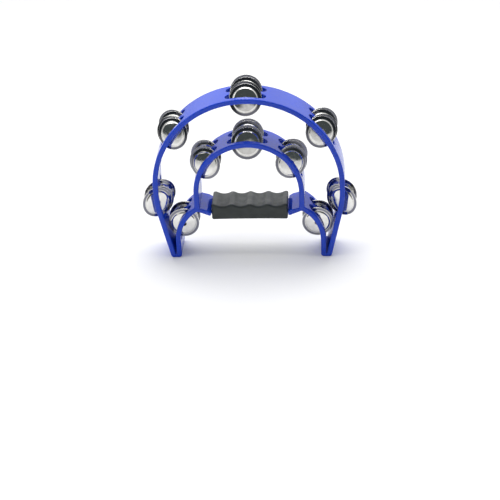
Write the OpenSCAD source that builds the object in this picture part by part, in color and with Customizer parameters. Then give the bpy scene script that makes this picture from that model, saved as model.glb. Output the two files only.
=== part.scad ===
// Half-moon hand tambourine with two rows of jingle pairs.
// It stands upright on its two tips. X runs across the two tips, Y through the
// depth of the rim (the front edge faces -Y), Z points up. The origin is at the
// middle of the footprint, on the surface that the tips stand on.

/* [Rim] */
// Outer radius of the outer ring
ring_r = 115; // [112:0.5:118]
// Wall thickness of the ring and the inner arch
wall = 6.3; // [5.8:0.1:6.8]
// Depth of the rim, front edge to back edge
rim_depth = 44; // [43:0.5:48]
// Height of the ring's centre above the surface that the tips stand on
ring_h = 95; // [94:0.5:97]

/* [Inner arch] */
// Inner radius of the arch
arch_r = 60.1; // [59:0.1:61]
// How far the arch's centre sits below the ring's centre
arch_drop = 7.4; // [6.5:0.1:8]

/* [Legs] */
// Centre-line radius of the curved legs
leg_r = 50; // [49.6:0.1:50.4]
// Wall thickness of the legs
leg_wall = 6.2; // [6.0:0.1:6.4]
// Radius on the corners of the feet
foot_round = 3.3; // [2:0.1:4]

/* [Handle] */
// Length of the rubber grip
grip_len = 92; // [84:1:92]
// Height of the grip over its finger ridges
grip_h = 20.4; // [19:0.1:21]
// Depth of the grip
grip_depth = 38; // [34:1:40]
// Depth of the finger scallops
scallop = 2.9; // [1.5:0.1:3.2]
// Number of finger scallops
fingers = 4; // [3:1:5]

/* [Jingles] */
// Radius of a jingle
jingle_r = 19; // [18:0.1:19.2]
// Thickness of the jingle's sheet metal
sheet = 0.6; // [0.5:0.05:0.7]
// Radius of the hole in a jingle
hole_r = 3.3; // [3.1:0.1:3.6]
// How far a jingle hangs below its pin's axis
hang = 1.15; // [1.0:0.05:1.3]
// Distance from the middle of the depth to each row
row_y = 9.5; // [9.2:0.1:9.8]
// Rest gap between the rim planes of a pair, square to them
pair_gap = 0.6; // [0.5:0.05:0.7]

/* [Pins and slots] */
// Radius of a jingle pin
pin_r = 1.3; // [1.2:0.05:1.4]
// Length of a slot along the rim
slot_len = 48; // [47:0.5:49.5]
// Height of a slot through the depth
slot_h = 12; // [11.6:0.1:12.4]

/* [Hidden] */
$fn = 96;

// ---- plan geometry, drawn in a plane whose origin is the ring's centre ----
ring_c = ring_r - wall / 2;      // centre line of the ring
low = 8;                         // straight run below the ring's equator
lean = 12.8;                     // lean of the outer strips at the tips
arch_c = arch_r + wall / 2;      // centre line of the arch
leg_x = 88.5 - leg_r;            // centre of a leg's curve
leg_z = -71.8;
leg_a0 = 60;                     // where a leg's curve meets the handle plate
slope = tan(lean);
// outer corner of a foot, on the line that leaves the ring at a tangent
outer_foot_x = ring_r * cos(lean) - slope * (ring_h - low - ring_r * sin(lean));

function ring_pt(a) = [ring_c * sin(a), ring_c * cos(a)];
function low_pt(z) = [sqrt(ring_c * ring_c - (z + low) * (z + low)), z];
function arch_pt(a) = [arch_c * sin(a), arch_c * cos(a) - arch_drop];
// the legs' pins lie a little inside the wall's centre line, away from the outer strip
leg_pin_r = 48.9;
function leg_pt(a) = [leg_x + leg_pin_r * cos(a), leg_z + leg_pin_r * sin(a)];

// Stations: [x, z, angle of the outward normal from +Z towards +X]
up_a = 51.8;
low_z = -22;
low_a = 90 + asin((-low_z - low) / ring_c);
side_a = 54.5;
leg_a = 24;
st_top = concat(ring_pt(0), [0]);
st_upper = concat(ring_pt(up_a), [up_a]);
st_lower = concat(low_pt(low_z), [low_a]);
st_arch_top = concat(arch_pt(0), [0]);
st_arch_side = concat(arch_pt(side_a), [side_a]);
st_leg = concat(leg_pt(leg_a), [90 - leg_a]);
function flip(s) = [-s[0], s[1], -s[2]];

module plan(depth) { translate([0, 0, ring_h]) rotate([90, 0, 0]) linear_extrude(depth, center = true) children(); }
module both() { children(); mirror([1, 0]) children(); }

module ring_half() {
  // upper half circle
  intersection() {
    difference() { circle(ring_r, $fn = 240); circle(ring_r - wall, $fn = 240); }
    translate([-130, 0]) square([260, 130]);
  }
}

module side_strip() {
  translate([ring_r - wall, -low]) square([wall, low]);
  intersection() {
    translate([0, -low]) difference() { circle(ring_r, $fn = 240); circle(ring_r - wall, $fn = 240); }
    polygon([[0, -low], [140, -low], [140, -low - 140 * slope]]);
  }
  // straight lower strip, tangent to the curve above it
  polygon([
    [ring_r * cos(lean), -low - ring_r * sin(lean)],
    [(ring_r - wall) * cos(lean), -low - (ring_r - wall) * sin(lean)],
    [outer_foot_x - wall / cos(lean), -ring_h],
    [outer_foot_x, -ring_h]
  ]);
}

module arch2d() {
  translate([0, -arch_drop]) intersection() {
    difference() { circle(arch_r + wall, $fn = 200); circle(arch_r, $fn = 200); }
    translate([-80, 0]) square([160, 80]);
  }
}

module arch_foot() { translate([arch_r, -29.5]) square([wall, 29.5 - arch_drop]); }

module leg2d() {
  translate([leg_x, leg_z]) intersection() {
    difference() { circle(leg_r + leg_wall / 2, $fn = 180); circle(leg_r - leg_wall / 2, $fn = 180); }
    polygon([[0, 0], [90, 0], [90, 90 * tan(leg_a0 - 20)], [90 * cos(leg_a0) * 1.2, 90 * sin(leg_a0) * 1.2]]);
  }
  translate([leg_x + leg_r - leg_wall / 2, -ring_h]) square([leg_wall, ring_h + leg_z]);
}

module handle_plate() {
  polygon([[61.5, -26.6], [59.6, -27.7], [51.3, -29.9], [46.6, -33], [46.6, -38.6], [61.4, -32.5], [64.6, -31.4], [66.4, -27.5]]);
}

module foot_fill() {
  translate([88, -ring_h]) square([7, 4.4]);
}

module plan2d() {
  difference() {
    union() {
      ring_half();
      arch2d();
      both() { side_strip(); arch_foot(); leg2d(); handle_plate(); foot_fill(); }
    }
    // rounded corners of the two feet
    both() {
      translate([leg_x + leg_r - leg_wall / 2 - 0.01, -ring_h - 0.01]) difference() {
        square(foot_round);
        translate([foot_round, foot_round]) circle(foot_round, $fn = 48);
      }
      difference() {
        polygon([
          [outer_foot_x + 0.3, -ring_h - 0.01],
          [foot_cx, -ring_h - 0.01],
          [foot_cx, foot_cz],
          [foot_cx + (foot_round + 0.3) * cos(lean), foot_cz - (foot_round + 0.3) * sin(lean)]
        ]);
        translate([foot_cx, foot_cz]) circle(foot_round, $fn = 48);
      }
    }
  }
}
foot_cz = -ring_h + foot_round;
foot_cx = outer_foot_x + slope * foot_round - foot_round / cos(lean) + 0.01;

// A slot with full-round ends, cut along a station's normal in both rows.
// up and end_up are how far the cut reaches outside the wall's centre line.
module slot_cut(s, up = 5, end_up = 5) {
  translate([s[0], 0, s[1] + ring_h]) rotate([0, s[2], 0])
    for (y = [-row_y, row_y]) translate([0, y, -12]) {
      translate([-(slot_len - slot_h) / 2, -slot_h / 2, 0]) cube([slot_len - slot_h, slot_h, 12 + up]);
      for (e = [-1, 1]) translate([e * (slot_len - slot_h) / 2, 0, 0]) cylinder(h = 12 + end_up, r = slot_h / 2, $fn = 48);
    }
}

pin_front = -rim_depth / 2 + 3;  // blind end of a pin
module pin_bore(s) {
  translate([s[0], rim_depth / 2 + 1, s[1] + ring_h]) rotate([90, 0, 0])
    cylinder(h = rim_depth / 2 + 1 - pin_front, r = pin_r - 0.02, $fn = 32);
}

core_lo = -38.6;                 // bar inside the grip
core_hi = -33;
core_depth = 28;

module frame() {
  color([0.10, 0.16, 0.72]) {
    difference() {
      union() {
        plan(rim_depth) plan2d();
        // bar that carries the grip
        translate([-46.6, -core_depth / 2, ring_h + core_lo]) cube([93.2, core_depth, core_hi - core_lo]);
      }
      for (s = [st_top, st_upper, flip(st_upper), st_lower, flip(st_lower), st_arch_top, st_arch_side, flip(st_arch_side)]) {
        slot_cut(s);
        pin_bore(s);
      }
      // on the curved legs the cut stops short of the outer strip
      for (s = [st_leg, flip(st_leg)]) {
        slot_cut(s, 5, 2);
        pin_bore(s);
      }
    }
  }
}

grip_lo = -44.6;                 // underside of the grip
grip_hi = grip_lo + grip_h;
pitch = grip_len / (fingers + 0.25);
dip_w = pitch - 3.2;             // width of one scallop
dip_r = (dip_w * dip_w / 4 + scallop * scallop) / (2 * scallop);

module grip2d() {
  difference() {
    // side outline with rounded corners
    union() {
      translate([-grip_len / 2 + 2.5, grip_lo]) square([grip_len - 5, grip_h]);
      translate([-grip_len / 2, grip_lo + 2.5]) square([grip_len, grip_h - 5]);
      for (x = [-1, 1], z = [grip_lo + 2.5, grip_hi - 2.5]) translate([x * (grip_len / 2 - 2.5), z]) circle(2.5, $fn = 40);
    }
    for (i = [0 : fingers - 1])
      translate([(i - (fingers - 1) / 2) * pitch, grip_hi - scallop + dip_r]) circle(dip_r, $fn = 200);
  }
}

module hand_grip() {
  color([0.20, 0.22, 0.21]) difference() {
    plan(grip_depth) grip2d();
    translate([-60, -core_depth / 2, ring_h + core_lo]) cube([120, core_depth, core_hi - core_lo]);
  }
}

module pin(s) {
  color([0.75, 0.75, 0.74]) translate([s[0], rim_depth / 2, s[1] + ring_h]) rotate([90, 0, 0])
    cylinder(h = rim_depth / 2 - pin_front, r = pin_r, $fn = 32);
}

// Stamped jingle in its own frame: rim in the plane z = 0, dome towards +z,
// the hole's centre on the axis
dome_h = 2.9;
module jingle_shape() {
  rotate_extrude($fn = 96) polygon([
    [jingle_r, 0], [jingle_r, sheet * 0.9], [jingle_r - 0.2, sheet],
    [jingle_r * 0.785, 0.35 + sheet], [jingle_r * 0.725, 1.55 + sheet * 0.8], [jingle_r * 0.66, 2.0 + sheet * 0.5],
    [jingle_r * 0.42, dome_h - 0.22], [hole_r, dome_h],
    [hole_r, dome_h - sheet], [jingle_r * 0.40, dome_h - 0.22 - sheet], [jingle_r * 0.64, 2.0 - sheet * 0.5],
    [jingle_r * 0.695, 1.55 - sheet * 0.2], [jingle_r * 0.755, 0.35], [jingle_r - 0.3, 0]
  ]);
}

// A jingle at a station. off is where its hole's centre lies from the pin's axis,
// row is -1 at the front and 1 at the back, side is -1 for the pair's front jingle
// and 1 for its back one. tilt turns its plane about the rim's tangent: the edge
// outside the rim leans back (+Y) when tilt is positive.
module jingle(s, off, row, side, tilt) {
  outward = off[0] * sin(s[2]) + off[1] * cos(s[2]);
  hole_y = row * row_y + outward * tan(tilt) + side * (pair_gap / 2 + dome_h) / cos(tilt);
  color([0.80, 0.80, 0.78])
    translate([s[0] + off[0], hole_y, s[1] + ring_h + off[1]])
      rotate([0, s[2], 0])          // local z = outward normal, x = tangent
        rotate([-tilt, 0, 0])       // lean about the tangent
          rotate([side < 0 ? 90 : -90, 0, 0]) // dome faces out of the pair
            translate([0, 0, -dome_h]) jingle_shape();
}

// Where the holes rest from their pins: straight below, and at the legs
// pushed inward, clear of the outer strips
h_ring = [0, -hang];
h_leg = [-1.61, -0.72];
function flip2(v) = [-v[0], v[1]];

// Rest tilt of each station's jingles, front row then back row
t_top = [27, 24];
t_upper_left = [26, 22];
t_upper_right = [26, 22];
t_lower_left = [-29, -24];
t_lower_right = [-29, -24];
t_arch_top = [25, 22];
t_arch_left = [23, 20];
t_arch_right = [23, 20];
t_leg_left = [0, 0];
t_leg_right = [0, 0];

module jingle_set(s, off, t, which) { jingle(s, off, which < 2 ? -1 : 1, which % 2 == 0 ? -1 : 1, t[which < 2 ? 0 : 1]); }

frame();
hand_grip();
pin(st_top);  // pin_top
pin(flip(st_upper));  // pin_upper_left
pin(st_upper);  // pin_upper_right
pin(flip(st_lower));  // pin_lower_left
pin(st_lower);  // pin_lower_right
pin(st_arch_top);  // pin_arch_top
pin(flip(st_arch_side));  // pin_arch_left
pin(st_arch_side);  // pin_arch_right
pin(flip(st_leg));  // pin_leg_left
pin(st_leg);  // pin_leg_right
jingle_set(st_top, h_ring, t_top, 0);  // jingle_top_a1
jingle_set(st_top, h_ring, t_top, 1);  // jingle_top_a2
jingle_set(st_top, h_ring, t_top, 2);  // jingle_top_b1
jingle_set(st_top, h_ring, t_top, 3);  // jingle_top_b2
jingle_set(flip(st_upper), h_ring, t_upper_left, 0);  // jingle_upper_left_a1
jingle_set(flip(st_upper), h_ring, t_upper_left, 1);  // jingle_upper_left_a2
jingle_set(flip(st_upper), h_ring, t_upper_left, 2);  // jingle_upper_left_b1
jingle_set(flip(st_upper), h_ring, t_upper_left, 3);  // jingle_upper_left_b2
jingle_set(st_upper, h_ring, t_upper_right, 0);  // jingle_upper_right_a1
jingle_set(st_upper, h_ring, t_upper_right, 1);  // jingle_upper_right_a2
jingle_set(st_upper, h_ring, t_upper_right, 2);  // jingle_upper_right_b1
jingle_set(st_upper, h_ring, t_upper_right, 3);  // jingle_upper_right_b2
jingle_set(flip(st_lower), h_ring, t_lower_left, 0);  // jingle_lower_left_a1
jingle_set(flip(st_lower), h_ring, t_lower_left, 1);  // jingle_lower_left_a2
jingle_set(flip(st_lower), h_ring, t_lower_left, 2);  // jingle_lower_left_b1
jingle_set(flip(st_lower), h_ring, t_lower_left, 3);  // jingle_lower_left_b2
jingle_set(st_lower, h_ring, t_lower_right, 0);  // jingle_lower_right_a1
jingle_set(st_lower, h_ring, t_lower_right, 1);  // jingle_lower_right_a2
jingle_set(st_lower, h_ring, t_lower_right, 2);  // jingle_lower_right_b1
jingle_set(st_lower, h_ring, t_lower_right, 3);  // jingle_lower_right_b2
jingle_set(st_arch_top, h_ring, t_arch_top, 0);  // jingle_arch_top_a1
jingle_set(st_arch_top, h_ring, t_arch_top, 1);  // jingle_arch_top_a2
jingle_set(st_arch_top, h_ring, t_arch_top, 2);  // jingle_arch_top_b1
jingle_set(st_arch_top, h_ring, t_arch_top, 3);  // jingle_arch_top_b2
jingle_set(flip(st_arch_side), h_ring, t_arch_left, 0);  // jingle_arch_left_a1
jingle_set(flip(st_arch_side), h_ring, t_arch_left, 1);  // jingle_arch_left_a2
jingle_set(flip(st_arch_side), h_ring, t_arch_left, 2);  // jingle_arch_left_b1
jingle_set(flip(st_arch_side), h_ring, t_arch_left, 3);  // jingle_arch_left_b2
jingle_set(st_arch_side, h_ring, t_arch_right, 0);  // jingle_arch_right_a1
jingle_set(st_arch_side, h_ring, t_arch_right, 1);  // jingle_arch_right_a2
jingle_set(st_arch_side, h_ring, t_arch_right, 2);  // jingle_arch_right_b1
jingle_set(st_arch_side, h_ring, t_arch_right, 3);  // jingle_arch_right_b2
jingle_set(flip(st_leg), flip2(h_leg), t_leg_left, 0);  // jingle_leg_left_a1
jingle_set(flip(st_leg), flip2(h_leg), t_leg_left, 1);  // jingle_leg_left_a2
jingle_set(flip(st_leg), flip2(h_leg), t_leg_left, 2);  // jingle_leg_left_b1
jingle_set(flip(st_leg), flip2(h_leg), t_leg_left, 3);  // jingle_leg_left_b2
jingle_set(st_leg, h_leg, t_leg_right, 0);  // jingle_leg_right_a1
jingle_set(st_leg, h_leg, t_leg_right, 1);  // jingle_leg_right_a2
jingle_set(st_leg, h_leg, t_leg_right, 2);  // jingle_leg_right_b1
jingle_set(st_leg, h_leg, t_leg_right, 3);  // jingle_leg_right_b2
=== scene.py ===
import math

import bmesh
import bpy
import numpy as np
from mathutils import Matrix, Vector
from mathutils.geometry import tessellate_polygon


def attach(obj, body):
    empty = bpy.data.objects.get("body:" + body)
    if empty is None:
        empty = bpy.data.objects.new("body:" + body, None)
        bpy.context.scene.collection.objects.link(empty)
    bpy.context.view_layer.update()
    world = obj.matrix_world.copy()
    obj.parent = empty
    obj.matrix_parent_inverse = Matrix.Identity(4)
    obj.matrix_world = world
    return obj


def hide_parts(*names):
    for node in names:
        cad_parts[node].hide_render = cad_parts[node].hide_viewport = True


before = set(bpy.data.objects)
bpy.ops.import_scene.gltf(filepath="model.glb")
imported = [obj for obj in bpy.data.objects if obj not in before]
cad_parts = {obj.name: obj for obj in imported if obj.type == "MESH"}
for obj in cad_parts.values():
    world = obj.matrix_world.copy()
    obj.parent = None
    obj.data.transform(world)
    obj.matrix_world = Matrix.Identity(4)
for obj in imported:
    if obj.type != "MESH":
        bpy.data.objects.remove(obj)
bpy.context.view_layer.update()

MM = 0.001
rad = math.radians

# ------------------------------------------------------------------ camera ---
# Part frame: Z up, front edge of the rim towards -Y, ring centre at height RING_H.
RING_H = 95.0
EL, AZ, ROLL = rad(29.954), rad(4.0748), rad(-2.4776)
cam_back = Vector((math.sin(AZ) * math.cos(EL), -math.cos(AZ) * math.cos(EL), math.sin(EL)))
cam_right = Vector((math.cos(AZ), math.sin(AZ), 0.0))
cam_up = cam_back.cross(cam_right)
r2 = math.cos(ROLL) * cam_right + math.sin(ROLL) * cam_up
u2 = -math.sin(ROLL) * cam_right + math.cos(ROLL) * cam_up
cam_loc = (cam_back * 1687.51 + r2 * 0.786 + u2 * -84.80) * MM + Vector((0, 0, RING_H * MM))
cam_data = bpy.data.cameras.new("camera")
cam_data.sensor_width = 36.0
cam_data.lens = 100.8
cam_data.clip_start = 0.01
cam_data.clip_end = 100.0
cam = bpy.data.objects.new("camera", cam_data)
bpy.context.scene.collection.objects.link(cam)
cam.matrix_world = Matrix((
    (r2.x, u2.x, cam_back.x, cam_loc.x),
    (r2.y, u2.y, cam_back.y, cam_loc.y),
    (r2.z, u2.z, cam_back.z, cam_loc.z),
    (0, 0, 0, 1)))
bpy.context.scene.camera = cam


# ------------------------------------------------------------ mesh helpers ---
def new_object(name, verts, faces, scale=MM, smooth=True, sharp_deg=None, recalc=True):
    me = bpy.data.meshes.new(name)
    me.from_pydata([tuple(c * scale for c in v) for v in verts], [], faces)
    if recalc:
        bm = bmesh.new()
        bm.from_mesh(me)
        bmesh.ops.recalc_face_normals(bm, faces=bm.faces)
        bm.to_mesh(me)
        bm.free()
    ob = bpy.data.objects.new(name, me)
    bpy.context.scene.collection.objects.link(ob)
    if smooth:
        me.polygons.foreach_set("use_smooth", [True] * len(me.polygons))
        if sharp_deg is not None:
            me.set_sharp_from_angle(angle=rad(sharp_deg))
    return ob


def apply_modifiers(ob):
    deps = bpy.context.evaluated_depsgraph_get()
    me = bpy.data.meshes.new_from_object(ob.evaluated_get(deps))
    old = ob.data
    ob.modifiers.clear()
    ob.data = me
    me.name = ob.name
    bpy.data.meshes.remove(old)


def outward(part):
    """A closed part whose faces are wound alike, turned so that they all look outwards."""
    verts, faces = part
    p = np.array(verts)
    c = p.mean(0)
    vol = 0.0
    for f in faces:
        for i in range(1, len(f) - 1):
            a, b, d = p[f[0]] - c, p[f[i]] - c, p[f[i + 1]] - c
            vol += a[0] * (b[1] * d[2] - b[2] * d[1]) - a[1] * (b[0] * d[2] - b[2] * d[0]) + a[2] * (b[0] * d[1] - b[1] * d[0])
    return (verts, faces) if vol > 0 else (verts, [tuple(reversed(f)) for f in faces])


def cut(ob, cutter, operation="DIFFERENCE"):
    m = ob.modifiers.new("cut", "BOOLEAN")
    m.operation = operation
    m.object = cutter
    m.solver = "MANIFOLD"
    bpy.context.view_layer.update()
    apply_modifiers(ob)
    bpy.data.objects.remove(cutter)


def arc(cx, cz, r, a0, a1, step=1.0):
    n = max(2, int(math.ceil(abs(rad(a1 - a0)) * r / step)))
    return [(cx + r * math.cos(rad(a0 + (a1 - a0) * i / n)), cz + r * math.sin(rad(a0 + (a1 - a0) * i / n))) for i in range(n + 1)]


def fillet(p0, p1, p2, r, n=8):
    """Points that round the corner at p1 with radius r."""
    p0, p1, p2 = (np.array(p, float) for p in (p0, p1, p2))
    a, b = p0 - p1, p2 - p1
    a, b = a / np.linalg.norm(a), b / np.linalg.norm(b)
    half = math.acos(max(-1, min(1, float(a @ b)))) / 2
    t = r / math.tan(half)
    c = p1 + (a + b) / np.linalg.norm(a + b) * (r / math.sin(half))
    s, e = p1 + a * t - c, p1 + b * t - c
    a0, a1 = math.atan2(s[1], s[0]), math.atan2(e[1], e[0])
    while a1 - a0 > math.pi: a1 -= 2 * math.pi
    while a1 - a0 < -math.pi: a1 += 2 * math.pi
    return [(c[0] + r * math.cos(a0 + (a1 - a0) * i / n), c[1] + r * math.sin(a0 + (a1 - a0) * i / n)) for i in range(n + 1)]


def dense(points, step=2.5):
    """A closed loop with no segment longer than step, and no doubled points."""
    out = []
    n = len(points)
    for i in range(n):
        p, q = np.array(points[i]), np.array(points[(i + 1) % n])
        d = float(np.linalg.norm(q - p))
        if d < 1e-4:
            continue
        k = max(1, int(math.ceil(d / step)))
        for j in range(k):
            out.append(tuple(p + (q - p) * j / k))
    return out


def mirrored(half):
    """A half loop from the upper centre line to the lower one, closed with its mirror image."""
    left = [(-x, z) for x, z in reversed(half)]
    loop = half + left
    return loop


def inward(loop, inside_right):
    """Unit offset of each point, mitred, into the right-hand side of the loop's direction."""
    p = np.array(loop)
    d0 = p - np.roll(p, 1, 0)
    d1 = np.roll(p, -1, 0) - p
    d0 /= np.linalg.norm(d0, axis=1)[:, None]
    d1 /= np.linalg.norm(d1, axis=1)[:, None]
    n0 = np.stack([d0[:, 1], -d0[:, 0]], 1)
    n1 = np.stack([d1[:, 1], -d1[:, 0]], 1)
    n = n0 + n1
    n /= np.linalg.norm(n, axis=1)[:, None]
    n /= np.maximum(0.5, (n * n0).sum(1))[:, None]
    return n if inside_right else -n


# --------------------------------------------------------- rim, one moulding ---
RING_R, WALL, LOW, LEAN = 115.0, 6.3, 8.0, 12.8
ARCH_R, ARCH_DROP = 60.1, 7.4
LEG_R, LEG_WALL, LEG_X, LEG_Z = 50.0, 6.2, 38.5, -71.8
HALF = 22.0          # half the depth of the rim
EDGE = 1.5           # rounding of the front and back edges
slope = math.tan(rad(LEAN))
foot_x = RING_R * math.cos(rad(LEAN)) - slope * (RING_H - LOW - RING_R * math.sin(rad(LEAN)))

outer_half = (
    arc(0, 0, RING_R, 90, 0)
    + arc(0, -LOW, RING_R, 0, -LEAN)
    + fillet((RING_R * math.cos(rad(LEAN)), -LOW - RING_R * math.sin(rad(LEAN))), (foot_x, -RING_H), (85.4, -RING_H), 3.3, 10)
    + fillet((foot_x, -RING_H), (85.4, -RING_H), (85.4, LEG_Z), 3.3, 10)
    + arc(LEG_X, LEG_Z, LEG_R - LEG_WALL / 2, 0, 55.5)
    + fillet((LEG_X + 46.9 * math.cos(rad(55.5)), LEG_Z + 46.9 * math.sin(rad(55.5))), (63.15, -31.9), (61.4, -32.5), 2.6, 6)
    + fillet((61.4, -32.5), (46.6, -38.6), (46.6, -33.0), 1.7, 8)
    + fillet((46.6, -38.6), (46.6, -33.0), (51.3, -29.9), 1.7, 7)
    + fillet((46.6, -33.0), (51.3, -29.9), (60.1, -27.57), 1.6, 5)
    + fillet((51.3, -29.9), (60.1, -27.57), (60.1, -7.4), 1.1, 8)
    + arc(0, -ARCH_DROP, ARCH_R, 0, 90)
)
hole_half = (
    arc(0, 0, RING_R - WALL, 90, 0)
    + arc(0, -LOW, RING_R - WALL, 0, -LEAN)
    + fillet(((RING_R - WALL) * math.cos(rad(LEAN)), -LOW - (RING_R - WALL) * math.sin(rad(LEAN))), (91.6, -RING_H - (91.6 - foot_x + WALL / math.cos(rad(LEAN))) / -slope), (91.6, LEG_Z), 0.61, 8)
    + arc(LEG_X, LEG_Z, LEG_R + LEG_WALL / 2, 0, 56.3)
    + fillet((LEG_X + 53.1 * math.cos(rad(56.3)), LEG_Z + 53.1 * math.sin(rad(56.3))), (66.4, -26.62), (66.4, -7.4), 1.5, 6)
    + arc(0, -ARCH_DROP, ARCH_R + WALL, 0, 90)
)
outer = dense(mirrored(outer_half))
hole = dense(mirrored(hole_half))


def rim_solid():
    rows = []
    n = 6
    for i in range(n + 1):
        a = math.pi / 2 * (1 - i / n)
        rows.append((-(HALF - EDGE + EDGE * math.sin(a)), EDGE * (1 - math.cos(a))))
    rows += [(-y, ins) for y, ins in reversed(rows)]
    verts, faces, starts = [], [], []
    for loop, side in ((outer, True), (hole, False)):
        nrm = inward(loop, side)
        # the V pockets and the narrow ends take the rounding without folding over
        first = len(verts)
        p = np.array(loop)
        k = len(p)
        for y, ins in rows:
            q = p + nrm * ins
            verts += [(float(x), y, float(z)) for x, z in q]
        for r in range(len(rows) - 1):
            for i in range(k):
                j = (i + 1) % k
                faces.append((first + r * k + i, first + r * k + j, first + (r + 1) * k + j, first + (r + 1) * k + i))
        starts.append((first, k))
    for r in (0, len(rows) - 1):
        loops = []
        index = []
        for first, k in starts:
            loops.append([Vector((verts[first + r * k + i][0], verts[first + r * k + i][2], 0)) for i in range(k)])
            index += [first + r * k + i for i in range(k)]
        for tri in tessellate_polygon(loops):
            faces.append(tuple(index[i] for i in tri))
    return [(x, y, z + RING_H) for x, y, z in verts], faces


# centre lines of the walls that hold the slots, right half, as dense polylines
def ring_line():
    rc = RING_R - WALL / 2
    pts = arc(0, 0, rc, 179, 0, 0.4) + [(rc, -LOW * t / 20) for t in range(1, 20)] + arc(0, -LOW, rc, 0, -LEAN, 0.4)
    x0, z0 = pts[-1]
    pts += [(x0 - math.sin(rad(LEAN)) * t, z0 - math.cos(rad(LEAN)) * t) for t in np.linspace(0.4, 50, 120)]
    return np.array(pts)


def arch_line():
    rc = ARCH_R + WALL / 2
    return np.array(arc(0, -ARCH_DROP, rc, 179, 0, 0.4) + [(rc, -ARCH_DROP - t) for t in np.linspace(0.4, 20, 50)])


def leg_line():
    return np.array(arc(LEG_X, LEG_Z, LEG_R, 85, 0, 0.4) + [(LEG_X + LEG_R, LEG_Z - t) for t in np.linspace(0.4, 24, 60)])


ring_c = RING_R - WALL / 2
arch_c = ARCH_R + WALL / 2
low_z = -22.0
low_a = 90 + math.degrees(math.asin((-low_z - LOW) / ring_c))


def on_ring(a): return (ring_c * math.sin(rad(a)), ring_c * math.cos(rad(a)), a)
def on_arch(a): return (arch_c * math.sin(rad(a)), arch_c * math.cos(rad(a)) - ARCH_DROP, a)
def on_leg(a): return (LEG_X + 48.9 * math.cos(rad(a)), LEG_Z + 48.9 * math.sin(rad(a)), 90 - a)


STATIONS = {
    "top": (on_ring(0), "ring"),
    "upper_right": (on_ring(51.8), "ring"),
    "lower_right": ((math.sqrt(ring_c ** 2 - (low_z + LOW) ** 2), low_z, low_a), "ring"),
    "arch_top": (on_arch(0), "arch"),
    "arch_right": (on_arch(54.5), "arch"),
    "leg_right": (on_leg(24), "leg"),
}
for key in ("upper", "lower", "arch", "leg"):
    (sx, sz, sa), kind = STATIONS[key + "_right"]
    STATIONS[key + "_left"] = ((-sx, sz, -sa), kind)
LINES = {"ring": (ring_line(), WALL), "arch": (arch_line(), WALL), "leg": (leg_line(), LEG_WALL)}
SLOT_L, SLOT_H, ROW_Y = 48.0, 12.0, 9.5


def slot_cutter(station, kind, row):
    """A slot cutter that flares at both faces of the curved wall, so that the cut has rounded rims."""
    sx, sz, sa = station
    flip = sx < -1e-6
    if flip:
        sx, sa = -sx, -sa
    tangent = np.array([math.cos(rad(sa)), -math.sin(rad(sa))])
    normal = np.array([math.sin(rad(sa)), math.cos(rad(sa))])
    line, wall = LINES[kind]
    seg = np.gradient(line, axis=0)
    seg /= np.linalg.norm(seg, axis=1)[:, None]
    nrm = np.stack([-seg[:, 1], seg[:, 0]], 1)
    away = line - np.array([sx, sz])
    nrm *= np.sign((nrm @ normal))[:, None]
    keep = np.linalg.norm(away, axis=1) < 40
    line, nrm = line[keep], nrm[keep]
    rs = 0.75
    prof = []                                     # (distance from the wall's middle, flare)
    half = wall / 2
    outside = 1.2 if kind == "leg" else 3.0
    prof += [(-half - 3.0, rs + 0.55), (-half - 0.12, rs + 0.5)]
    steps = 5
    for i in range(steps + 1):
        t = rs * i / steps
        prof.append((-half + t, rs - math.sqrt(max(0.0, rs * rs - (rs - t) ** 2))))
    for i in range(steps, -1, -1):
        t = rs * i / steps
        prof.append((half - t, rs - math.sqrt(max(0.0, rs * rs - (rs - t) ** 2))))
    prof += [(half + 0.12, rs + 0.5), (half + outside, rs + 0.55)]
    # stadium outline, with its outward normals
    m = 18
    r = SLOT_H / 2
    cx = (SLOT_L - SLOT_H) / 2
    out = []
    for i in range(m + 1):
        a = -math.pi / 2 + math.pi * i / m
        out.append((cx + r * math.cos(a), r * math.sin(a), math.cos(a), math.sin(a)))
    for i in range(1, 16):
        out.append((cx - 2 * cx * i / 16, r, 0, 1))
    for i in range(m + 1):
        a = math.pi / 2 + math.pi * i / m
        out.append((-cx + r * math.cos(a), r * math.sin(a), math.cos(a), math.sin(a)))
    for i in range(1, 16):
        out.append((-cx + 2 * cx * i / 16, -r, 0, -1))
    verts, faces = [], []
    n = len(out)
    for d, w in prof:
        p = line + nrm * d - np.array([sx, sz])
        a, h = p @ tangent, p @ normal
        order = np.argsort(a)
        for oa, ob_, na, nb in out:
            aa = oa + w * na
            hh = float(np.interp(aa, a[order], h[order]))
            x, z = np.array([sx, sz]) + tangent * aa + normal * hh
            verts.append(((-x if flip else x), row * ROW_Y + ob_ + w * nb, z + RING_H))
    for k in range(len(prof) - 1):
        for i in range(n):
            j = (i + 1) % n
            faces.append((k * n + i, k * n + j, (k + 1) * n + j, (k + 1) * n + i))
    # closed ends: strips across the slot, so that the caps follow the curved wall
    for i in range(m // 2, m // 2 + n // 2):
        a, b, c, d = i, i + 1, (m - i - 1) % n, (m - i) % n
        strip = [a, b] + ([c] if c != b else []) + ([d] if d != a else [])
        last = (len(prof) - 1) * n
        faces.append(tuple(reversed(strip)))
        faces.append(tuple(q + last for q in strip))
    return outward((verts, faces))


def merged(parts):
    verts, faces = [], []
    for v, f in parts:
        base = len(verts)
        verts += v
        faces += [tuple(i + base for i in face) for face in f]
    return verts, faces


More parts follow.
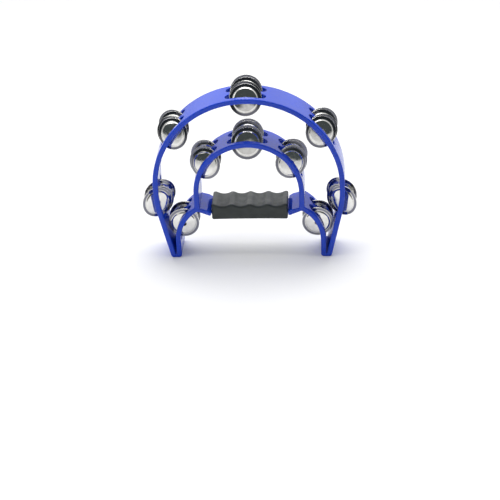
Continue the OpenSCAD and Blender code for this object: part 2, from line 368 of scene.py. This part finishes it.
def lathe_y(cx, cz, prof, n=28):
    """A closed solid turned about a line along Y; prof is (radius, y), ends on the axis."""
    verts, faces, rings = [], [], []
    for r, y in prof:
        if r < 1e-9:
            rings.append([len(verts)])
            verts.append((cx, y, cz))
        else:
            rings.append(list(range(len(verts), len(verts) + n)))
            verts += [(cx + r * math.cos(2 * math.pi * i / n), y, cz + r * math.sin(2 * math.pi * i / n)) for i in range(n)]
    for a, b in zip(rings, rings[1:]):
        for i in range(n):
            j = (i + 1) % n
            if len(a) == 1:
                faces.append((a[0], b[j], b[i]))
            elif len(b) == 1:
                faces.append((a[i], a[j], b[0]))
            else:
                faces.append((a[i], a[j], b[j], b[i]))
    return outward((verts, faces))


def box_solid(x0, x1, y0, y1, z0, z1):
    v = [(x, y, z) for x in (x0, x1) for y in (y0, y1) for z in (z0, z1)]
    f = [(0, 1, 3, 2), (4, 6, 7, 5), (0, 4, 5, 1), (2, 3, 7, 6), (0, 2, 6, 4), (1, 5, 7, 3)]
    return v, f


rim = new_object("rim_moulding", *rim_solid(), smooth=False)
bar = new_object("tmp_bar", *box_solid(-47.3, 47.3, -14, 14, RING_H - 38.3, RING_H - 33.05), smooth=False)
cut(rim, bar, "UNION")
slots = [slot_cutter(s, kind, row) for s, kind in STATIONS.values() for row in (-1, 1)]
cut(rim, new_object("tmp_slots", *merged(slots), smooth=False, recalc=False))
bores = [lathe_y(s[0], s[1] + RING_H, [(0, -19.05), (1.31, -19.05), (1.31, 21.55), (2.0, 22.4), (0, 22.4)]) for s, _ in STATIONS.values()]
cut(rim, new_object("tmp_bores", *merged(bores), smooth=False, recalc=False))
me = rim.data
bm = bmesh.new()
bm.from_mesh(me)
bmesh.ops.remove_doubles(bm, verts=bm.verts, dist=2e-6)
bmesh.ops.dissolve_degenerate(bm, edges=bm.edges, dist=1e-6)
bm.to_mesh(me)
bm.free()
me.polygons.foreach_set("use_smooth", [True] * len(me.polygons))
me.set_sharp_from_angle(angle=rad(38))
wn = rim.modifiers.new("normals", "WEIGHTED_NORMAL")
wn.mode = "FACE_AREA"
wn.weight = 60
wn.keep_sharp = True

# ------------------------------------------------------------------- grip ---
GRIP_L, GRIP_H, GRIP_D, GRIP_LO = 92.0, 20.4, 38.0, -44.6
SCALLOP, FINGERS = 2.9, 4
GRIP_HI = GRIP_LO + GRIP_H
pitch = GRIP_L / (FINGERS + 0.25)
dip_w = pitch - 3.2
dip_r = (dip_w ** 2 / 4 + SCALLOP ** 2) / (2 * SCALLOP)
gx = np.linspace(-60, 60, 2401)
gz = np.full_like(gx, GRIP_HI)
for i in range(FINGERS):
    u = gx - (i - (FINGERS - 1) / 2) * pitch
    inside = np.abs(u) < dip_w / 2
    gz[inside] = np.minimum(gz[inside], GRIP_HI - SCALLOP + dip_r - np.sqrt(dip_r ** 2 - u[inside] ** 2))
kern = np.exp(-0.5 * (np.arange(-60, 61) * 0.05 / 0.85) ** 2)
gz = np.convolve(np.pad(gz, 60, mode="edge"), kern / kern.sum(), mode="valid")


def grip_solid():
    end_r, rc_top, rc_low = 2.3, 2.6, 2.4
    xs = []
    for i in range(9):
        a = math.pi / 2 * i / 8
        xs.append((-GRIP_L / 2 + end_r * (1 - math.sin(a)), end_r * (1 - math.cos(a))))
    xs = list(reversed(xs))                      # from the end face to the full section
    n_mid = 150
    x_a, x_b = -GRIP_L / 2 + end_r, GRIP_L / 2 - end_r
    stations = [(x, e) for x, e in xs]
    stations = sorted(set(stations + [(-x, e) for x, e in xs] + [(x_a + (x_b - x_a) * i / n_mid, 0.0) for i in range(1, n_mid)]))
    verts, faces, k = [], [], None
    for x, ins in stations:
        top = float(np.interp(x, gx, gz)) - ins
        bow = 0.45 * (1 - (x / (GRIP_L / 2)) ** 2)
        low = GRIP_LO + bow + ins
        hy = GRIP_D / 2 - ins - 0.25 * (1 - (x / (GRIP_L / 2)) ** 6)
        rt, rl = max(0.35, rc_top - ins), max(0.35, rc_low - ins)
        ring = []
        m = 8
        for cy, cz, r, a0 in ((hy - rt, top - rt, rt, 0), (-hy + rt, top - rt, rt, 90), (-hy + rl, low + rl, rl, 180), (hy - rl, low + rl, rl, 270)):
            for j in range(m + 1):
                a = rad(a0 + 90 * j / m)
                ring.append((x, cy + r * math.cos(a), cz + r * math.sin(a) + RING_H))
        # extra points along the flat sides
        full = []
        for j, p in enumerate(ring):
            q = ring[(j + 1) % len(ring)]
            full.append(p)
            if (j + 1) % (m + 1) == 0:
                cnt = 14 if j // (m + 1) in (0, 2) else 7
                for t in range(1, cnt):
                    full.append(tuple(p[c] + (q[c] - p[c]) * t / cnt for c in range(3)))
        k = len(full)
        verts += full
    for s in range(len(stations) - 1):
        for i in range(k):
            j = (i + 1) % k
            faces.append((s * k + i, s * k + j, (s + 1) * k + j, (s + 1) * k + i))
    faces.append(tuple(range(k)))
    faces.append(tuple(range((len(stations) - 1) * k, len(stations) * k)))
    return verts, faces


grip = new_object("grip_sleeve", *grip_solid(), smooth=False)
cut(grip, new_object("tmp_hole", *box_solid(-60, 60, -14.1, 14.1, RING_H - 38.7, RING_H - 32.9), smooth=False))
grip.data.polygons.foreach_set("use_smooth", [True] * len(grip.data.polygons))
grip.data.set_sharp_from_angle(angle=rad(40))
wn = grip.modifiers.new("normals", "WEIGHTED_NORMAL")
wn.mode = "FACE_AREA"
wn.weight = 50
wn.keep_sharp = True

# ---------------------------------------------------------------- jingles ---
JR, SHEET, HOLE_R, DOME_H, HANG, GAP = 19.0, 0.6, 3.3, 2.9, 1.15, 0.6


def smooth_path(points, n):
    """A curve through the points by chord-length Catmull-Rom, n points in all."""
    p = np.array(points, float)
    t = np.concatenate([[0], np.cumsum(np.linalg.norm(np.diff(p, axis=0), axis=1) ** 0.5)])
    q = np.linspace(0, t[-1], n)
    out = np.zeros((n, 2))
    ext = np.vstack([2 * p[0] - p[1], p, 2 * p[-1] - p[-2]])
    te = np.concatenate([[t[0] - (t[1] - t[0])], t, [t[-1] + (t[-1] - t[-2])]])
    for k, u in enumerate(q):
        i = int(min(max(np.searchsorted(t, u, side="right") - 1, 0), len(p) - 2)) + 1
        t0, t1, t2, t3 = te[i - 1:i + 3]
        p0, p1, p2, p3 = ext[i - 1:i + 3]
        a1 = (t1 - u) / (t1 - t0) * p0 + (u - t0) / (t1 - t0) * p1
        a2 = (t2 - u) / (t2 - t1) * p1 + (u - t1) / (t2 - t1) * p2
        a3 = (t3 - u) / (t3 - t2) * p2 + (u - t2) / (t3 - t2) * p3
        b1 = (t2 - u) / (t2 - t0) * a1 + (u - t0) / (t2 - t0) * a2
        b2 = (t3 - u) / (t3 - t1) * a2 + (u - t1) / (t3 - t1) * a3
        out[k] = (t2 - u) / (t2 - t1) * b1 + (u - t1) / (t2 - t1) * b2
    return out


def jingle_profile():
    """The stamped sheet's outline in (radius, height): upper face from rim to hole, then the lower face back."""
    top = smooth_path([(18.78, 0.60), (17.6, 0.66), (16.2, 0.76), (15.25, 0.86), (14.75, 0.99), (14.35, 1.27), (14.0, 1.62), (13.6, 1.92),
                       (12.9, 2.12), (11.6, 2.30), (9.6, 2.50), (7.2, 2.69), (5.2, 2.81), (3.75, 2.87)], 44)
    low = smooth_path([(3.55, 2.27), (5.2, 2.21), (7.2, 2.09), (9.6, 1.90), (11.4, 1.72), (12.5, 1.56), (13.15, 1.34), (13.5, 1.05),
                       (13.85, 0.70), (14.25, 0.40), (14.9, 0.24), (16.0, 0.14), (17.4, 0.05), (18.7, 0.0)], 36)
    hole_edge = [(3.45, 2.85), (3.33, 2.76), (3.30, 2.57), (3.33, 2.38), (3.42, 2.30)]
    rim_edge = [(18.88, 0.02), (18.98, 0.12), (19.0, 0.28), (18.99, 0.44), (18.90, 0.56)]
    return [tuple(p) for p in top] + hole_edge + [tuple(p) for p in low] + rim_edge


def jingle_mesh(index):
    rng = np.random.RandomState(40 + index)
    prof = np.array(jingle_profile())
    n = 112
    th = np.linspace(0, 2 * math.pi, n, endpoint=False)
    ph = rng.uniform(0, 2 * math.pi, 12)
    am = rng.uniform(0.5, 1.0, 12)
    nick_t = rng.uniform(0, 2 * math.pi, 3)
    nick_d = rng.uniform(0.03, 0.10, 3)
    verts, faces = [], []
    for r, z in prof:
        t = max(0.0, (r - 12.5) / 6.5)
        dome = max(0.0, 1 - abs(r - 8.5) / 5.0)
        dz = t * t * (0.018 * am[0] * np.sin(2 * th + ph[0]) + 0.010 * am[1] * np.sin(3 * th + ph[1]) + 0.005 * am[2] * np.sin(5 * th + ph[2]))
        dz = dz + t * 0.003 * np.sin(11 * th + ph[3]) * np.sin(r * 2.1 + ph[4])
        dz = dz + dome * (0.020 * am[5] * np.sin(3 * th + ph[5] + r * 0.35) + 0.012 * am[6] * np.sin(4 * th + ph[6]) * np.sin(r * 0.9 + ph[7]))
        dr = np.zeros(n)
        if r > 18.4:
            for nt, nd in zip(nick_t, nick_d):
                d = np.abs((th - nt + math.pi) % (2 * math.pi) - math.pi) * 19.0
                dr -= nd * np.exp(-(d / 0.7) ** 2)
        rr = r + dr
        verts += [(float(a), float(b), float(c)) for a, b, c in zip(rr * np.cos(th), rr * np.sin(th), z + dz)]
    k = len(prof)
    for i in range(k):
        i2 = (i + 1) % k
        for j in range(n):
            j2 = (j + 1) % n
            faces.append((i * n + j, i * n + j2, i2 * n + j2, i2 * n + j))
    ob = new_object(f"tmp_jingle_{index}", verts, faces)
    local = ob.data.attributes.new("disc", "FLOAT_VECTOR", "POINT")
    local.data.foreach_set("vector", [c * MM for v in verts for c in v])
    return ob


N_VARIANTS = 6
variants = [jingle_mesh(i) for i in range(N_VARIANTS)]

TILT = {"top": (27, 24), "upper": (26, 22), "lower": (-29, -24), "arch_top": (25, 22), "arch": (23, 20), "leg": (0, 0)}


def tilts(name):
    return TILT[name] if name in TILT else TILT[name.rsplit("_", 1)[0]]


jingles, pins = [], []
count = 0
for name, ((sx, sz, sa), kind) in STATIONS.items():
    for letter, row in (("a", -1), ("b", 1)):
        for digit, side in (("1", -1), ("2", 1)):
            tilt = tilts(name)[0 if row < 0 else 1]
            dx, dz = (-1.61 * math.copysign(1, sx), -0.72) if kind == "leg" else (0.0, -HANG)
            out_n = dx * math.sin(rad(sa)) + dz * math.cos(rad(sa))
            y = row * ROW_Y + out_n * math.tan(rad(tilt)) + side * (GAP / 2 + DOME_H) / math.cos(rad(tilt))
            turn = 137.5 * count
            m = (Matrix.Translation(Vector((sx + dx, y, sz + RING_H + dz)) * MM)
                 @ Matrix.Rotation(rad(sa), 4, "Y")
                 @ Matrix.Rotation(rad(-tilt), 4, "X")
                 @ Matrix.Rotation(rad(90 if side < 0 else -90), 4, "X")
                 @ Matrix.Translation(Vector((0, 0, -DOME_H)) * MM)
                 @ Matrix.Rotation(rad(turn), 4, "Z"))
            node = f"jingle_{name}_{letter}{digit}"
            baked = variants[count % N_VARIANTS].data.copy()
            baked.name = node + "_disc"
            baked.transform(m)
            ob = bpy.data.objects.new(node + "_disc", baked)
            bpy.context.scene.collection.objects.link(ob)
            jingles.append((ob, node))
            count += 1
    c = 0.3
    prof = [(0, -18.95), (0.95, -18.95), (1.28, -18.6), (1.28, 21.5), (1.20, 21.72), (1.0, 21.82), (0.5, 21.88), (0, 21.9)]
    pins.append((new_object(f"pin_{name}_steel", *lathe_y(sx, sz + RING_H, prof, 32), sharp_deg=45), f"pin_{name}"))
for v in variants:
    bpy.data.objects.remove(v)


# --------------------------------------------------------------- materials ---
class Nodes:
    def __init__(self, name):
        self.mat = bpy.data.materials.new(name)
        self.mat.use_nodes = True
        self.t = self.mat.node_tree
        self.bsdf = next(n for n in self.t.nodes if n.type == "BSDF_PRINCIPLED")
        self.coord = self.t.nodes.new("ShaderNodeTexCoord")

    def add(self, kind, **kw):
        n = self.t.nodes.new(kind)
        for k, v in kw.items():
            setattr(n, k, v)
        return n

    def link(self, a, b):
        self.t.links.new(a, b)

    def put(self, socket, value):
        if isinstance(value, bpy.types.NodeSocket):
            self.link(value, socket)
        else:
            socket.default_value = value

    def mapping(self, scale=(1, 1, 1), source="Object", rotation=(0, 0, 0)):
        m = self.add("ShaderNodeMapping")
        m.inputs["Scale"].default_value = scale
        m.inputs["Rotation"].default_value = rotation
        self.link(self.coord.outputs[source], m.inputs["Vector"])
        return m.outputs["Vector"]

    def noise(self, scale, vector=None, detail=3.0, rough=0.5, distortion=0.0):
        n = self.add("ShaderNodeTexNoise")
        n.inputs["Scale"].default_value = scale
        n.inputs["Detail"].default_value = detail
        n.inputs["Roughness"].default_value = rough
        n.inputs["Distortion"].default_value = distortion
        self.link(vector or self.coord.outputs["Object"], n.inputs["Vector"])
        return n.outputs["Fac"]

    def voronoi(self, scale, vector=None, feature="F1"):
        n = self.add("ShaderNodeTexVoronoi", feature=feature)
        n.inputs["Scale"].default_value = scale
        self.link(vector or self.coord.outputs["Object"], n.inputs["Vector"])
        return n.outputs["Distance"]

    def ramp(self, fac, lo, hi, a=0.0, b=1.0, smooth=True):
        n = self.add("ShaderNodeMapRange", interpolation_type="SMOOTHSTEP" if smooth else "LINEAR")
        n.inputs["From Min"].default_value = lo
        n.inputs["From Max"].default_value = hi
        n.inputs["To Min"].default_value = a
        n.inputs["To Max"].default_value = b
        self.put(n.inputs["Value"], fac)
        return n.outputs["Result"]

    def math(self, op, a, b=0.0, clamp=False):
        n = self.add("ShaderNodeMath", operation=op, use_clamp=clamp)
        self.put(n.inputs[0], a)
        self.put(n.inputs[1], b)
        return n.outputs[0]

    def mix(self, fac, a, b, mode="MIX"):
        n = self.add("ShaderNodeMix", data_type="RGBA", blend_type=mode)
        self.put(n.inputs["Factor"], fac)
        for s, v in ((n.inputs["A"], a), (n.inputs["B"], b)):
            pass
        ins = [s for s in n.inputs if s.type == "RGBA"]
        self.put(ins[0], a)
        self.put(ins[1], b)
        return [s for s in n.outputs if s.type == "RGBA"][0]

    def xyz(self, source="Object"):
        n = self.add("ShaderNodeSeparateXYZ")
        self.link(self.coord.outputs[source], n.inputs[0])
        return n.outputs[0], n.outputs[1], n.outputs[2]

    def bump(self, height, strength, distance, normal=None):
        n = self.add("ShaderNodeBump")
        n.inputs["Strength"].default_value = strength
        n.inputs["Distance"].default_value = distance
        self.link(height, n.inputs["Height"])
        if normal is not None:
            self.link(normal, n.inputs["Normal"])
        return n.outputs["Normal"]


def rim_material():
    m = Nodes("rim_blue_plastic")
    x, y, z = m.xyz()
    cloud = m.noise(22.0, detail=2.0)
    base = m.mix(m.ramp(cloud, 0.3, 0.7), (0.001, 0.042, 0.50, 1), (0.002, 0.052, 0.58, 1))
    # scuffed pigment along the front and back edges and on the feet
    edge = m.ramp(m.math("ABSOLUTE", y), 0.0203, 0.0219)
    foot = m.ramp(z, 0.010, 0.001)
    grit = m.noise(420.0, detail=4.0, rough=0.65)
    fine = m.noise(1500.0, detail=2.0)
    worn = m.math("MULTIPLY", m.ramp(grit, 0.60, 0.72), m.math("MAXIMUM", m.math("MULTIPLY", edge, 0.55), foot))
    base = m.mix(m.math("MULTIPLY", worn, 0.35), base, (0.10, 0.16, 0.72, 1))
    # hair scratches, two directions
    s1 = m.noise(60.0, m.mapping((1.0, 30.0, 1.2), rotation=(0.3, 0.1, 0.5)), detail=1.0)
    s2 = m.noise(75.0, m.mapping((26.0, 1.0, 1.4), rotation=(0.1, 0.6, -0.4)), detail=1.0)
    scratch = m.math("MAXIMUM", m.ramp(s1, 0.74, 0.80), m.ramp(s2, 0.75, 0.81))
    m.link(base, m.bsdf.inputs["Base Color"])
    rough = m.ramp(m.noise(45.0, detail=3.0), 0.3, 0.7, 0.17, 0.25)
    rough = m.math("ADD", rough, m.math("MULTIPLY", worn, 0.22))
    rough = m.math("ADD", rough, m.math("MULTIPLY", scratch, 0.10), clamp=True)
    m.link(rough, m.bsdf.inputs["Roughness"])
    peel = m.noise(260.0, detail=1.5)
    n = m.bump(peel, 0.10, 0.0005)
    n = m.bump(fine, 0.05, 0.0001, n)
    n = m.bump(m.math("SUBTRACT", 1.0, scratch), 0.08, 0.0001, n)
    m.link(n, m.bsdf.inputs["Normal"])
    m.bsdf.inputs["IOR"].default_value = 1.52
    m.bsdf.inputs["Specular IOR Level"].default_value = 0.30
    m.bsdf.inputs["Coat Weight"].default_value = 0.10
    m.bsdf.inputs["Coat Roughness"].default_value = 0.08
    return m.mat


def grip_material():
    m = Nodes("grip_dark_rubber")
    x, y, z = m.xyz()
    cloud = m.noise(35.0, detail=4.0)
    base = m.mix(m.ramp(cloud, 0.3, 0.7), (0.014, 0.020, 0.019, 1), (0.022, 0.030, 0.029, 1))
    speck = m.ramp(m.voronoi(900.0), 0.0, 0.16, 1.0, 0.0)
    base = m.mix(m.math("MULTIPLY", speck, 0.10), base, (0.22, 0.23, 0.22, 1))
    # hand-polished crests with a painted highlight: the highest part of the ridges is painted a little lighter, partly
    # as polish wear and partly as painted highlight, and is smoother
    polish_and_painted_highlight = m.ramp(z, (RING_H + GRIP_HI - 1.6) * MM, (RING_H + GRIP_HI - 0.1) * MM)
    # the lighter colour along the top of the ridges is partly a painted highlight
    base = m.mix(m.math("MULTIPLY", polish_and_painted_highlight, 0.25), base, (0.055, 0.066, 0.065, 1))
    m.link(base, m.bsdf.inputs["Base Color"])
    rough = m.ramp(m.noise(120.0, detail=3.0), 0.3, 0.7, 0.42, 0.58)
    rough = m.math("SUBTRACT", rough, m.math("MULTIPLY", polish_and_painted_highlight, 0.10))
    m.link(rough, m.bsdf.inputs["Roughness"])
    grain = m.noise(2200.0, detail=3.0, rough=0.6)
    cell = m.voronoi(1700.0)
    n = m.bump(grain, 0.25, 0.0002)
    n = m.bump(cell, 0.20, 0.0002, n)
    n = m.bump(m.noise(140.0, detail=2.0), 0.12, 0.0005, n)
    m.link(n, m.bsdf.inputs["Normal"])
    m.bsdf.inputs["IOR"].default_value = 1.50
    m.bsdf.inputs["Sheen Weight"].default_value = 0.08
    m.bsdf.inputs["Sheen Roughness"].default_value = 0.5
    return m.mat


def jingle_material():
    m = Nodes("jingle_bright_nickel")
    local = m.add("ShaderNodeAttribute", attribute_type="GEOMETRY", attribute_name="disc")
    sep = m.add("ShaderNodeSeparateXYZ")
    m.link(local.outputs["Vector"], sep.inputs[0])
    x, y, z = sep.outputs
    radius = m.math("SQRT", m.math("ADD", m.math("MULTIPLY", x, x), m.math("MULTIPLY", y, y)))
    smear = m.noise(160.0, detail=3.0, distortion=0.6)
    base = m.mix(m.ramp(smear, 0.35, 0.70), (0.80, 0.795, 0.775, 1), (0.70, 0.69, 0.665, 1))
    # a grey bloom in the bend between the flange and the dome, and at the hole
    bend = m.math("MULTIPLY", m.ramp(radius, 0.0136, 0.0145), m.ramp(radius, 0.0156, 0.0149))
    hole_ring = m.ramp(radius, 0.0050, 0.0034)
    dirt = m.math("MULTIPLY", m.math("MAXIMUM", bend, hole_ring), m.ramp(m.noise(700.0, detail=4.0), 0.35, 0.65))
    base = m.mix(m.math("MULTIPLY", dirt, 0.35), base, (0.42, 0.40, 0.36, 1))
    # the flat flange is painted dark navy as a painted reflection; its very edge keeps the bright nickel
    painted_dark_reflection = m.math("MULTIPLY", m.ramp(radius, 0.0152, 0.0160), m.ramp(radius, 0.0187, 0.0183))
    base = m.mix(m.math("MULTIPLY", painted_dark_reflection, 0.82), base, (0.075, 0.08, 0.13, 1))
    m.link(base, m.bsdf.inputs["Base Color"])
    m.bsdf.inputs["Metallic"].default_value = 1.0
    rough = m.ramp(m.noise(240.0, detail=4.0, distortion=0.4), 0.35, 0.72, 0.055, 0.14)
    rough = m.math("ADD", rough, m.math("MULTIPLY", dirt, 0.18))
    m.link(rough, m.bsdf.inputs["Roughness"])
    # spinning marks: fine rings whose depth comes and goes
    rings = m.math("SINE", m.math("MULTIPLY", radius, 2 * math.pi / 0.00042))
    depth = m.math("MULTIPLY", rings, m.ramp(m.noise(300.0, detail=2.0), 0.35, 0.75))
    n = m.bump(depth, 0.05, 0.00004)
    n = m.bump(m.noise(330.0, detail=2.0), 0.07, 0.00012, n)
    m.link(n, m.bsdf.inputs["Normal"])
    return m.mat


def pin_material():
    m = Nodes("pin_drawn_steel")
    drawn = m.noise(900.0, m.mapping((1.0, 0.02, 1.0)), detail=3.0)
    base = m.mix(m.ramp(drawn, 0.3, 0.7), (0.56, 0.56, 0.55, 1), (0.68, 0.68, 0.67, 1))
    m.link(base, m.bsdf.inputs["Base Color"])
    m.bsdf.inputs["Metallic"].default_value = 1.0
    m.link(m.ramp(m.noise(500.0, detail=3.0), 0.3, 0.7, 0.20, 0.34), m.bsdf.inputs["Roughness"])
    m.link(m.bump(drawn, 0.12, 0.00006), m.bsdf.inputs["Normal"])
    return m.mat


mat_rim, mat_grip, mat_jingle, mat_pin = rim_material(), grip_material(), jingle_material(), pin_material()


def dress(ob, mat):
    ob.data.materials.clear()
    ob.data.materials.append(mat)


dress(rim, mat_rim)
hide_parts("frame")
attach(rim, "rim")
dress(grip, mat_grip)
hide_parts("hand_grip")
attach(grip, "rim")
for ob, node in jingles:
    dress(ob, mat_jingle)
    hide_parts(node)
    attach(ob, node)
for ob, node in pins:
    dress(ob, mat_pin)
    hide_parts(node)
    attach(ob, "rim")

# ------------------------------------------------------------ floor, light ---
n = 96
fv = [(0, 0, 0)] + [(30 * math.cos(2 * math.pi * i / n), 30 * math.sin(2 * math.pi * i / n), 0) for i in range(n)]
floor = new_object("floor", fv, [(0, 1 + i, 1 + (i + 1) % n) for i in range(n)], scale=1.0, smooth=False)
fm = Nodes("floor_white")
fcol = fm.mix(fm.ramp(fm.noise(3.0), 0.3, 0.7), (0.90, 0.90, 0.90, 1), (0.92, 0.92, 0.92, 1))
fm.link(fcol, fm.bsdf.inputs["Base Color"])
fm.bsdf.inputs["Roughness"].default_value = 0.9
fm.bsdf.inputs["Specular IOR Level"].default_value = 0.2
floor.data.materials.append(fm.mat)

world = bpy.data.worlds.new("studio")
bpy.context.scene.world = world
world.use_nodes = True
wt = world.node_tree
wt.nodes.clear()


def wnode(kind, **kw):
    node = wt.nodes.new(kind)
    for k, v in kw.items():
        setattr(node, k, v)
    return node


out = wnode("ShaderNodeOutputWorld")
coord = wnode("ShaderNodeTexCoord")
path = wnode("ShaderNodeLightPath")


def wrange(value, a, b, c=0.0, d=1.0):
    node = wnode("ShaderNodeMapRange", interpolation_type="SMOOTHSTEP")
    for k, v in (("From Min", a), ("From Max", b), ("To Min", c), ("To Max", d)):
        node.inputs[k].default_value = v
    wt.links.new(value, node.inputs["Value"])
    return node.outputs["Result"]


def wmix(fac, a, b):
    node = wnode("ShaderNodeMix", data_type="RGBA")
    if isinstance(fac, float):
        node.inputs["Factor"].default_value = fac
    else:
        wt.links.new(fac, node.inputs["Factor"])
    ins = [s for s in node.inputs if s.type == "RGBA"]
    for s, v in zip(ins, (a, b)):
        if isinstance(v, tuple):
            s.default_value = v
        else:
            wt.links.new(v, s)
    return [s for s in node.outputs if s.type == "RGBA"][0]


# a pale tent, brightest behind and overhead, that is open to a dark room in front above the table's horizon
sep = wnode("ShaderNodeSeparateXYZ")
wt.links.new(coord.outputs["Generated"], sep.inputs[0])


def wtimes(a, b):
    node = wnode("ShaderNodeMath", operation="MULTIPLY")
    wt.links.new(a, node.inputs[0])
    wt.links.new(b, node.inputs[1])
    return node.outputs[0]


ahead = wrange(sep.outputs[1], -0.08, -0.42)
# the dark reaches lower to the left and right of the table
side = wnode("ShaderNodeMath", operation="ABSOLUTE")
wt.links.new(sep.outputs[0], side.inputs[0])
lift = wnode("ShaderNodeMath", operation="MULTIPLY_ADD")
wt.links.new(side.outputs[0], lift.inputs[0])
lift.inputs[1].default_value = 0.74
wt.links.new(sep.outputs[2], lift.inputs[2])
above = wrange(lift.outputs[0], 0.42, 0.54)
below = wrange(sep.outputs[2], 0.96, 0.80)
room = wtimes(wtimes(ahead, above), below)
roof = wrange(sep.outputs[2], 0.45, 0.95)
tent = wmix(roof, (0.70, 0.70, 0.70, 1), (1.15, 1.15, 1.15, 1))
back = wnode("ShaderNodeVectorMath", operation="DOT_PRODUCT")
wt.links.new(coord.outputs["Generated"], back.inputs[0])
back.inputs[1].default_value = (0.0, 0.82, 0.572)
tent = wmix(wrange(back.outputs["Value"], math.cos(rad(50)), math.cos(rad(20))), tent, (1.45, 1.45, 1.45, 1))
tent = wmix(room, tent, (0.060, 0.072, 0.074, 1))
seen = wmix(path.outputs["Is Camera Ray"], tent, (0.97, 0.97, 0.97, 1))
bg = wnode("ShaderNodeBackground")
wt.links.new(seen, bg.inputs["Color"])
bg.inputs["Strength"].default_value = 1.0
wt.links.new(bg.outputs[0], out.inputs["Surface"])


def area(name, loc, target, size, power, color=(1, 1, 1)):
    data = bpy.data.lights.new(name, "AREA")
    data.shape = "RECTANGLE"
    data.size, data.size_y = size
    data.energy = power
    data.color = color
    ob = bpy.data.objects.new(name, data)
    bpy.context.scene.collection.objects.link(ob)
    d = Vector(target) - Vector(loc)
    ob.matrix_world = Matrix.Translation(Vector(loc)) @ d.to_track_quat("-Z", "Y").to_matrix().to_4x4()
    return ob


area("softbox_top", (0.0, 0.25, 1.3), (0, 0, 0.1), (1.1, 0.8), 9.0)
area("softbox_left", (-1.1, -0.5, 0.9), (0, 0, 0.1), (0.7, 0.7), 3.0)

scene = bpy.context.scene
scene.view_settings.view_transform = "Standard"
scene.view_settings.look = "None"
